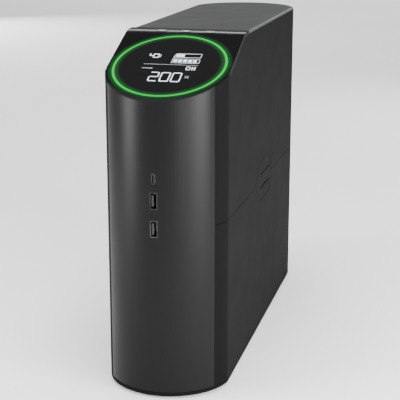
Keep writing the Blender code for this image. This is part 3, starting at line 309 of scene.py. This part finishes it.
def battery_case(name):
    """Grey battery plastic, with a dark lid line and plated tabs beyond the case's end."""
    paint = Paint(name)
    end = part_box("battery_lower")[1].x - TAB_LENGTH
    tab = paint.ramp(paint.part("X"), end, end + 0.0002, 0.0, 1.0)
    mottle = paint.ramp(paint.noise(24.0, 5.0), 0.3, 0.7, 0.0, 1.0)
    plastic = paint.blend(mottle, (0.030, 0.032, 0.036), (0.050, 0.052, 0.058))
    lid_start = paint.ramp(paint.part("X"), end - 0.0100, end - 0.0096, 0.0, 1.0)
    lid_stop = paint.ramp(paint.part("X"), end - 0.0096, end - 0.0092, 1.0, 0.0)
    plastic = paint.blend(paint.maths("MULTIPLY", lid_start, lid_stop), plastic, (0.006, 0.006, 0.007))
    paint.set(
        Base_Color=paint.blend(tab, plastic, (0.55, 0.50, 0.42)),
        Metallic=tab,
        Roughness=paint.ramp(paint.noise(300.0), 0.3, 0.7, 0.42, 0.60),
    )
    return paint.bump(paint.noise(1300.0, 2.0), 0.00005, 0.4).material


def capacitor_skin(name):
    """A black sleeve with a pale stripe, and a bare aluminium top."""
    paint = Paint(name)
    low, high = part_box("capacitor_1")
    top = paint.ramp(paint.part("Z"), high.z - 0.0009, high.z - 0.0005, 0.0, 1.0)
    middle = (low.x + high.x) / 2
    stripe = paint.ramp(paint.part("X"), middle + 0.0085, middle + 0.0090, 0.0, 1.0)
    shade = paint.ramp(paint.noise(90.0, 4.0), 0.3, 0.7, 0.0, 1.0)
    sleeve = paint.blend(shade, (0.008, 0.009, 0.014), (0.016, 0.017, 0.024))
    sleeve = paint.blend(stripe, sleeve, (0.32, 0.33, 0.34))
    paint.set(
        Base_Color=paint.blend(top, sleeve, (0.55, 0.56, 0.57)),
        Metallic=top,
        Roughness=paint.ramp(shade, 0.0, 1.0, 0.25, 0.38),
    )
    return paint.bump(paint.noise(240.0, 3.0), 0.00004, 0.3).material


def webbing(name, colour):
    """Woven strap: a twill of fine ribs along and across."""
    paint = Paint(name)
    across = paint.maths("SINE", paint.maths("MULTIPLY", paint.part("Y"), 2 * math.pi / 0.0012))
    along = paint.maths("SINE", paint.maths("MULTIPLY", paint.part("Z"), 2 * math.pi / 0.0016))
    weave = paint.ramp(paint.maths("MULTIPLY", across, along), -1.0, 1.0, 0.0, 1.0)
    fuzz = paint.ramp(paint.noise(600.0, 4.0), 0.3, 0.7, 0.7, 1.0)
    deep = tuple(c * 0.45 for c in colour)
    paint.set(
        Base_Color=paint.blend(paint.maths("MULTIPLY", weave, fuzz), deep, colour),
        Roughness=paint.ramp(weave, 0.0, 1.0, 0.95, 0.75),
    )
    return paint.bump(weave, 0.00015, 0.9).material


def floor_paint(name):
    """A pale, matt floor with the slightest unevenness."""
    paint = Paint(name)
    cloud = paint.ramp(paint.noise(1.5, 3.0), 0.3, 0.7, 0.0, 1.0)
    paint.set(
        Base_Color=paint.blend(cloud, (0.90, 0.90, 0.90), (0.93, 0.93, 0.93)),
        Roughness=paint.ramp(cloud, 0.0, 1.0, 0.80, 0.90),
        Specular_IOR_Level=0.1,
    )
    return paint.bump(paint.noise(300.0, 2.0), 0.00005, 0.2).material


# Shapes ---------------------------------------------------------------------------------------


def flat_top(node):
    """A frame on a node's largest flat face that looks up: its middle, with the normal as local Z."""
    groups = {}
    for face in NODES[node].data.polygons:
        if face.normal.z > 0.5:
            plane = (round(face.normal.y, 3), round(face.normal.dot(face.center), 5))
            groups.setdefault(plane, []).append(face)
    best = max(groups.values(), key=lambda faces: sum(face.area for face in faces))
    area = sum(face.area for face in best)
    middle = sum((face.center * face.area for face in best), Vector()) / area
    normal = best[0].normal
    return Matrix.Translation(middle) @ Matrix.Rotation(math.atan2(-normal.y, normal.z), 4, "X")


def piece(name, bm, material, body):
    """Turns a bmesh into an object that rides on a body."""
    bmesh.ops.recalc_face_normals(bm, faces=bm.faces)
    mesh = bpy.data.meshes.new(name)
    bm.to_mesh(mesh)
    bm.free()
    mesh.materials.append(material)
    mesh.shade_smooth()
    mesh.set_sharp_from_angle(angle=math.radians(35))
    made = bpy.data.objects.new(name, mesh)
    bpy.context.scene.collection.objects.link(made)
    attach(made, body)
    return made


def plates(name, outlines, place, material, body, low=0.00002, high=0.00008):
    """Thin raised shapes on a surface: each outline is a list of (x, y) in mm in the given frame."""
    bm = bmesh.new()
    for outline in outlines:
        rings = []
        for height in (low, high):
            points = [place @ Vector((x * MM, y * MM, height)) for x, y in outline]
            rings.append([bm.verts.new(point) for point in points])
        bottom, top = rings
        bm.faces.new(bottom[::-1])
        bm.faces.new(top)
        for i in range(len(bottom)):
            j = (i + 1) % len(bottom)
            bm.faces.new((bottom[i], bottom[j], top[j], top[i]))
    return piece(name, bm, material, body)


def stroke(points, width, closed=False):
    """Quads along a line of (x, y) points, mitred where they meet."""
    count = len(points)
    sides = []
    for i in range(count):
        here = Vector(points[i])
        before = Vector(points[i - 1]) if closed or i else None
        after = Vector(points[(i + 1) % count]) if closed or i < count - 1 else None
        into = (here - before).normalized() if before is not None else (after - here).normalized()
        out = (after - here).normalized() if after is not None else into
        side = Vector((-into.y - out.y, into.x + out.x)).normalized()
        reach = width / 2 / max(0.3, side.dot(Vector((-into.y, into.x))))
        sides.append((here + side * reach, here - side * reach))
    last = count if closed else count - 1
    quads = []
    for i in range(last):
        first, second = sides[i], sides[(i + 1) % count]
        quads.append([tuple(first[0]), tuple(first[1]), tuple(second[1]), tuple(second[0])])
    return quads


def rectangle(x0, y0, x1, y1):
    return [(x0, y0), (x1, y0), (x1, y1), (x0, y1)]


def arc(x, y, radius, start, stop, steps=16):
    """Points on an arc, with the angles in degrees from +X."""
    turns = [math.radians(start + (stop - start) * i / steps) for i in range(steps + 1)]
    return [(x + radius * math.cos(t), y + radius * math.sin(t)) for t in turns]


def digit(shown, x, y, width, height, thick):
    """The outlines of a seven-segment digit, with its lower left corner at (x, y)."""
    gap = thick * 0.12
    half = thick / 2
    left, right = x + half, x + width - half
    low, middle, high = y + half, y + height / 2, y + height - half
    spans = {
        "a": ((left, high), (right, high)),
        "b": ((right, middle), (right, high)),
        "c": ((right, low), (right, middle)),
        "d": ((left, low), (right, low)),
        "e": ((left, low), (left, middle)),
        "f": ((left, middle), (left, high)),
        "g": ((left, middle), (right, middle)),
    }
    bars = []
    for name in shown:
        (x0, y0), (x1, y1) = spans[name]
        if y0 == y1:
            x0, x1 = x0 + gap, x1 - gap
            below = [(x0 + half, y0 - half), (x1 - half, y0 - half)]
            above = [(x1 - half, y0 + half), (x0 + half, y0 + half)]
            bars.append([(x0, y0), *below, (x1, y0), *above])
        else:
            y0, y1 = y0 + gap, y1 - gap
            beyond = [(x0 + half, y0 + half), (x0 + half, y1 - half)]
            before = [(x0 - half, y1 - half), (x0 - half, y0 + half)]
            bars.append([(x0, y0), *beyond, (x0, y1), *before])
    return bars


def rounded_block(bm, low, high, edge=0.0003):
    """Adds a block with bevelled edges between two corners."""
    middle, size = (Vector(low) + Vector(high)) / 2, Vector(high) - Vector(low)
    made = bmesh.ops.create_cube(bm, size=1, matrix=Matrix.Translation(middle) @ Matrix.Diagonal((*size, 1)))
    edges = {e for vertex in made["verts"] for e in vertex.link_edges}
    bmesh.ops.bevel(bm, geom=list(edges), offset=edge, segments=2, profile=0.6, affect="EDGES")


def spun(bm, profile, place, steps=24):
    """Adds a closed solid of (radius, height) points turned about the frame's Z."""
    rings = []
    for radius, height in profile:
        turns = [2 * math.pi * i / steps for i in range(steps)]
        ring = [place @ Vector((radius * math.cos(t), radius * math.sin(t), height)) for t in turns]
        rings.append([bm.verts.new(point) for point in ring])
    for low, high in zip(rings, rings[1:]):
        for i in range(steps):
            j = (i + 1) % steps
            bm.faces.new((low[i], low[j], high[j], high[i]))
    bm.faces.new(rings[0][::-1])
    bm.faces.new(rings[-1])


# Places taken from the CAD
FACE = flat_top("display_window")
RING_HALF = 1.2 * MM
RING_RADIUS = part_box("display_window")[1].x + 0.3 * MM + RING_HALF
TAB_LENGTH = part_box("battery_lower")[1].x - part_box("battery_bay")[1].x


# Scene ----------------------------------------------------------------------------------------


def make_camera():
    data = bpy.data.cameras.new("camera")
    data.lens = CAMERA_LENS
    data.sensor_width = 36
    camera = bpy.data.objects.new("camera", data)
    bpy.context.scene.collection.objects.link(camera)
    flat = math.cos(CAMERA_PITCH)
    forward = Vector((-math.sin(CAMERA_YAW) * flat, math.cos(CAMERA_YAW) * flat, -math.sin(CAMERA_PITCH)))
    camera.location = CAMERA_TARGET - forward * CAMERA_DISTANCE
    camera.rotation_euler = (math.pi / 2 - CAMERA_PITCH, 0, CAMERA_YAW)
    bpy.context.scene.camera = camera


def area_light(name, place, target, size, power):
    """A soft box aimed at a point."""
    data = bpy.data.lights.new(name, "AREA")
    data.shape = "RECTANGLE"
    data.size, data.size_y = size
    data.energy = power
    light = bpy.data.objects.new(name, data)
    bpy.context.scene.collection.objects.link(light)
    light.location = place
    light.visible_camera = False
    light.rotation_euler = (Vector(target) - Vector(place)).to_track_quat("-Z", "Y").to_euler()


def make_studio():
    floor = bpy.data.meshes.new("floor")
    corners = [(x, y, 0) for x, y in rectangle(-FLOOR_HALF, -FLOOR_HALF, FLOOR_HALF, FLOOR_HALF)]
    floor.from_pydata(corners, [], [(0, 1, 2, 3)])
    floor.materials.append(floor_paint("floor_pale"))
    ground = bpy.data.objects.new("floor", floor)
    bpy.context.scene.collection.objects.link(ground)

    world = bpy.data.worlds.new("studio")
    world.use_nodes = True
    back = world.node_tree.nodes["Background"]
    back.inputs["Color"].default_value = (1.0, 1.0, 1.0, 1)
    back.inputs["Strength"].default_value = WORLD_STRENGTH
    bpy.context.scene.world = world

    for name, azimuth, distance, height, size, power in SIDE_LIGHTS:
        turn = math.radians(azimuth)
        place = (distance * math.sin(turn), -distance * math.cos(turn), height)
        area_light(name, place, LIGHT_TARGET, size, power)
    for name, (x, y, height), size, power in CEILING_LIGHTS:
        area_light(name, (x, y, height), (x, y, 0), size, power)


def make_display():
    """The lit parts of the display, printed just above the window, in mm from the ring's middle."""
    white = lit("display_white", MARK_COLOUR, 1.5)
    dim = lit("display_dim", (0.45, 0.48, 0.52), 0.5)

    bars = [rectangle(2.0, 13.9, 9.3, 17.6)]
    bars += stroke([(0.4, 12.7), (24.0, 12.7), (24.0, 18.8), (2.0, 18.8)], 0.3, closed=True)
    plates("load_bar", bars, FACE, white, CASE)

    step, count = 4.3, 5
    cells = [rectangle(1.6 + step * i, 5.1, 1.6 + step * (i + 1) - 1.2, 8.8) for i in range(count)]
    frame_line = [(0.3, 3.7), *arc(22.6, 5.4, 1.7, -90, 0, 5), *arc(22.6, 8.5, 1.7, 0, 90, 5), (0.3, 10.2)]
    plates("charge_bar", cells + stroke(frame_line, 0.3, closed=True), FACE, white, CASE)

    plug = stroke([(-17.6, 11.4), (-13.4, 11.4), (-13.4, 17.0), (-17.6, 17.0)], 0.8, closed=True)
    plug += [rectangle(-13.0, 12.5, -11.2, 13.2), rectangle(-13.0, 15.2, -11.2, 15.9)]
    plug += stroke([(-18.0, 14.2), (-20.0, 14.2), *arc(-20.0, 15.8, 1.6, -90, -250, 8)], 0.7)
    plates("mains_mark", plug, FACE, white, CASE)

    numbers = []
    digit_pitch, digit_width, digit_height = 9.8, 8.2, 14.2
    for i, shown in enumerate(("abged", "abcdef", "abcdef")):
        numbers += digit(shown, -13.3 + digit_pitch * i, -26.3, digit_width, digit_height, 0.95)
    plates("display_number", numbers, FACE, white, CASE)

    lines = [rectangle(-23.0, 0.3, 24.6, 0.7), rectangle(-23.0, -6.6, -13.6, -5.6)]
    plates("display_lines", lines, FACE, dim, CASE)

    small = stroke([(15.6, -6.8), (18.6, -6.8), (18.6, -2.4), (15.6, -2.4)], 0.6, closed=True)
    small += [rectangle(20.2, -7.0, 21.2, -2.2), rectangle(22.4, -7.0, 23.4, -2.2)]
    plates("display_level", small, FACE, white, CASE)
    unit = stroke([(17.6, -20.0), (20.6, -16.6)], 0.6)
    unit += [rectangle(17.4, -17.6, 18.4, -16.6), rectangle(19.8, -20.0, 20.8, -19.0)]
    plates("display_unit", unit, FACE, dim, CASE)


def make_button_marks():
    """A crossed-out speaker, a list and a power sign, one on each button, in mm from its middle."""
    white = lit("mark_white", MARK_COLOUR, 0.35)
    red = lit("mark_red", (1.0, 0.20, 0.16), 0.45)
    speaker = [[(-1.8, -0.5), (-0.9, -0.5), (0.1, -1.3), (0.1, 1.3), (-0.9, 0.5), (-1.8, 0.5)]]
    speaker += stroke([(0.7, -1.0), (2.1, 1.0)], 0.35)
    menu = [rectangle(-1.6, y - 0.2, 1.6, y + 0.2) for y in (-1.0, 0.0, 1.0)]
    power = stroke(arc(0, -0.1, 1.3, 125, 415, 18), 0.4) + [rectangle(-0.2, 0.1, 0.2, 1.7)]
    for name, outlines, paint in (("mute", speaker, white), ("menu", menu, white), ("power", power, red)):
        node = f"{name}_button"
        plates(f"{name}_mark", outlines, flat_top(node), paint, node)


def make_contacts():
    """Gold strips on the USB tongues and the springs in the network jacks."""
    gold = metal("contact_gold", (0.75, 0.48, 0.14), (1.0, 0.72, 0.28), (0.18, 0.32), (1, 0.2, 1))
    for node, count in (("usb_a_upper_tongue", 4), ("usb_a_lower_tongue", 4), ("usb_c_tongue", 8)):
        low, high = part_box(node)
        middle_x = (low.x + high.x) / 2
        tongue_half = 0.0004 if "usb_c" in node else 0.0009
        tongue_x = middle_x if "usb_c" in node else middle_x - 0.0010
        reach = (high.z - low.z) * 0.30
        bm = bmesh.new()
        for i in range(count):
            z = (low.z + high.z) / 2 + reach * (2 * i / (count - 1) - 1)
            half = reach / count * 0.55
            for side in (-1, 1):
                face = tongue_x + side * tongue_half
                near, far = sorted((face, face + side * 0.00008))
                rounded_block(bm, (near, low.y + 0.0006, z - half), (far, low.y + 0.0085, z + half), 0.00003)
        piece(f"{node}_contacts", bm, gold, CASE)
    for node in ("network_jack_in", "network_jack_out"):
        low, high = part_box(node)
        x, z = (low.x + high.x) / 2, (low.z + high.z) / 2
        bm = bmesh.new()
        for i in range(JACK_WIRES):
            wire = x + (i - (JACK_WIRES - 1) / 2) * JACK_WIRE_PITCH
            start = Vector((wire, high.y - 0.0015, z + 0.0028))
            along = Vector((wire, high.y - 0.0095, z + 0.0004)) - start
            turn = along.to_track_quat("Z", "Y").to_matrix().to_4x4()
            profile = [(JACK_WIRE_RADIUS, 0), (JACK_WIRE_RADIUS, along.length)]
            spun(bm, profile, Matrix.Translation(start) @ turn, 8)
        piece(f"{node}_springs", bm, gold, CASE)


def make_socket_contacts():
    """The brass leaves on both sides of each blade slot, inside the outlets."""
    brass = metal("socket_brass", (0.45, 0.30, 0.10), (0.72, 0.52, 0.22), (0.25, 0.40))
    for node in ("outlet_strip_left", "outlet_strip_right"):
        low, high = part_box(node)
        x = (low.x + high.x) / 2
        pitch = (high.z - low.z) / OUTLETS_PER_STRIP
        bm = bmesh.new()
        for i in range(OUTLETS_PER_STRIP):
            z = low.z + pitch * (i + 0.5) + 0.0038
            for offset, length in ((-BLADE_OFFSET, 0.0070), (BLADE_OFFSET, 0.0054)):
                for side in (-1, 1):
                    near, far = sorted((x + offset + side * 0.00086, x + offset + side * 0.00062))
                    block_low = (near, high.y - 0.0110, z - length / 2)
                    rounded_block(bm, block_low, (far, high.y - 0.0035, z + length / 2), 0.00006)
        piece(f"{node}_contacts", bm, brass, CASE)


def make_board_parts():
    """Chips with legs, two relays and three small cans, on top of the main board."""
    black = moulded("chip_epoxy", (0.010, 0.010, 0.011), (0.022, 0.022, 0.023), (0.45, 0.6), 0.4, 900.0)
    tin = metal("leg_tin", (0.45, 0.45, 0.44), (0.70, 0.70, 0.68), (0.25, 0.45))
    low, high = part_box("main_board")
    middle = Vector(((low.x + high.x) / 2, (low.y + high.y) / 2, high.z))

    # x, y from the board's middle, width, length
    chips = ((0.022, 0.034, 0.014, 0.009), (0.002, 0.064, 0.010, 0.010), (0.024, 0.070, 0.012, 0.007))
    bodies, legs = bmesh.new(), bmesh.new()
    for x, y, width, length in chips:
        place = middle + Vector((x, y, 0))
        half = Vector((width / 2, length / 2, 0))
        rounded_block(bodies, place - half + Vector((0, 0, 0.0004)), place + half + Vector((0, 0, 0.0022)))
        count = int(length / CHIP_LEG_PITCH)
        for i in range(count):
            leg_y = place.y + (i - (count - 1) / 2) * CHIP_LEG_PITCH
            for side in (-1, 1):
                near, far = sorted((place.x + side * half.x, place.x + side * (half.x + 0.0012)))
                leg_low = (near, leg_y - 0.0002, place.z + 0.0001)
                rounded_block(legs, leg_low, (far, leg_y + 0.0002, place.z + 0.0010), 0.00008)
    for x in (0.012, 0.030):
        place = middle + Vector((x, -0.006, 0))
        relay_low = place + Vector((-0.007, -0.010, 0.0002))
        rounded_block(bodies, relay_low, place + Vector((0.007, 0.010, 0.016)), 0.0008)
    piece("main_board_chips", bodies, black, CASE)
    piece("main_board_legs", legs, tin, CASE)

    # x, y from the board's middle, radius, height
    cans = ((0.002, 0.089, 0.004, 0.012), (0.014, 0.096, 0.005, 0.016), (0.028, 0.092, 0.004, 0.011))
    bm = bmesh.new()
    for x, y, radius, height in cans:
        rim = radius - 0.0005
        side = [(rim, 0), (radius, 0.0005), (radius, height - 0.0006), (rim, height)]
        place = Matrix.Translation(middle + Vector((x, y, 0.0002)))
        spun(bm, [*side, (rim * 0.85, height - 0.0002)], place)
    sleeve = moulded("can_sleeve", (0.010, 0.014, 0.040), (0.018, 0.024, 0.070), (0.25, 0.35), 0.5, 300.0)
    piece("main_board_cans", bm, sleeve, CASE)


def paint_nodes():
    """Gives every CAD node the finish of its slot, and the fascia a satin one of its own."""
    satin = moulded("fascia_satin", (0.0052, 0.0052, 0.0053), (0.0060, 0.0060, 0.0061), (0.32, 0.35), 0.075)
    iron = ((0.05, 0.05, 0.055), (0.22, 0.22, 0.23))
    copper = ((0.14, 0.05, 0.015), (0.62, 0.27, 0.08))
    slots = {
        "case": moulded(
            "side_grain", (0.0048, 0.0048, 0.0049), (0.0054, 0.0054, 0.0055), (0.54, 0.58), 0.008
        ),
        "top": moulded("top_satin", (0.020, 0.021, 0.022), (0.024, 0.025, 0.026), (0.50, 0.55), 0.062),
        "rear_metal": moulded(
            "rear_coat", (0.012, 0.012, 0.013), (0.018, 0.018, 0.019), (0.45, 0.6), 0.4, 700.0, 0.0001
        ),
        "feet": rubber("foot_rubber"),
        # bezel and window: gloss black plastic with a painted green glow near the ring
        "gloss": gloss_with_painted_glow("bezel_gloss", (0.004, 0.004, 0.0045), (0.10, 0.18), 0.08),
        "window": gloss_with_painted_glow("window_gloss", (0.0035, 0.0035, 0.004), (0.06, 0.12), 0.35),
        "light_guide": ring_glow("ring_glow"),
        "lcd": moulded("lcd_frame", (0.02, 0.02, 0.021), (0.03, 0.03, 0.031), (0.3, 0.45), 0.5),
        "board": circuit_board("board_green"),
        "switches": moulded("switch_nylon", (0.02, 0.02, 0.02), (0.03, 0.03, 0.03), (0.4, 0.55), 0.4),
        "port_shells": metal(
            "shell_steel", (0.055, 0.055, 0.058), (0.10, 0.10, 0.105), (0.38, 0.50), (1, 0.15, 1)
        ),
        "port_tongues": moulded(
            "tongue_nylon", (0.010, 0.010, 0.011), (0.016, 0.016, 0.017), (0.4, 0.5), 0.4
        ),
        "sockets": moulded("socket_nylon", (0.010, 0.010, 0.011), (0.017, 0.017, 0.018), (0.32, 0.45), 0.5),
        "breaker": moulded("breaker_cap", (0.014, 0.014, 0.015), (0.022, 0.022, 0.023), (0.3, 0.4), 0.5),
        "contacts": metal("pin_nickel", (0.55, 0.53, 0.48), (0.80, 0.78, 0.72), (0.2, 0.35), (1, 0.2, 1)),
        "fan": moulded("fan_plastic", (0.009, 0.009, 0.010), (0.014, 0.014, 0.015), (0.35, 0.5), 0.5),
        "screws": metal("screw_black", (0.05, 0.05, 0.055), (0.16, 0.16, 0.17), (0.3, 0.5)),
        "battery_cases": battery_case("battery_grey"),
        "battery_fittings": moulded(
            "connector_nylon", (0.30, 0.02, 0.015), (0.40, 0.03, 0.02), (0.4, 0.5), 0.4
        ),
        "strap": webbing("strap_weave", (0.50, 0.34, 0.03)),
        "chassis": metal("chassis_zinc", (0.36, 0.37, 0.38), (0.60, 0.61, 0.62), (0.32, 0.48), spangle=110.0),
        "core": striped("core_laminations", *iron, 0.0010, "X", 0.8, (0.45, 0.6), 0.0001),
        "coil": striped("coil_wire", *copper, 0.0012, "Z", 0.6, (0.3, 0.45), 0.0003),
        "heatsink": metal("heatsink_alloy", (0.42, 0.43, 0.44), (0.66, 0.67, 0.68), (0.3, 0.45), (1, 0.1, 1)),
        "capacitors": capacitor_skin("capacitor_sleeve"),
    }
    for name, node in NODES.items():
        slot = node.data.materials[0].name.split(".")[0]
        node.data.materials[0] = satin if name == "front_fascia" else slots[slot]


make_camera()
make_studio()
paint_nodes()
make_display()
make_button_marks()
make_contacts()
make_socket_contacts()
make_board_parts()
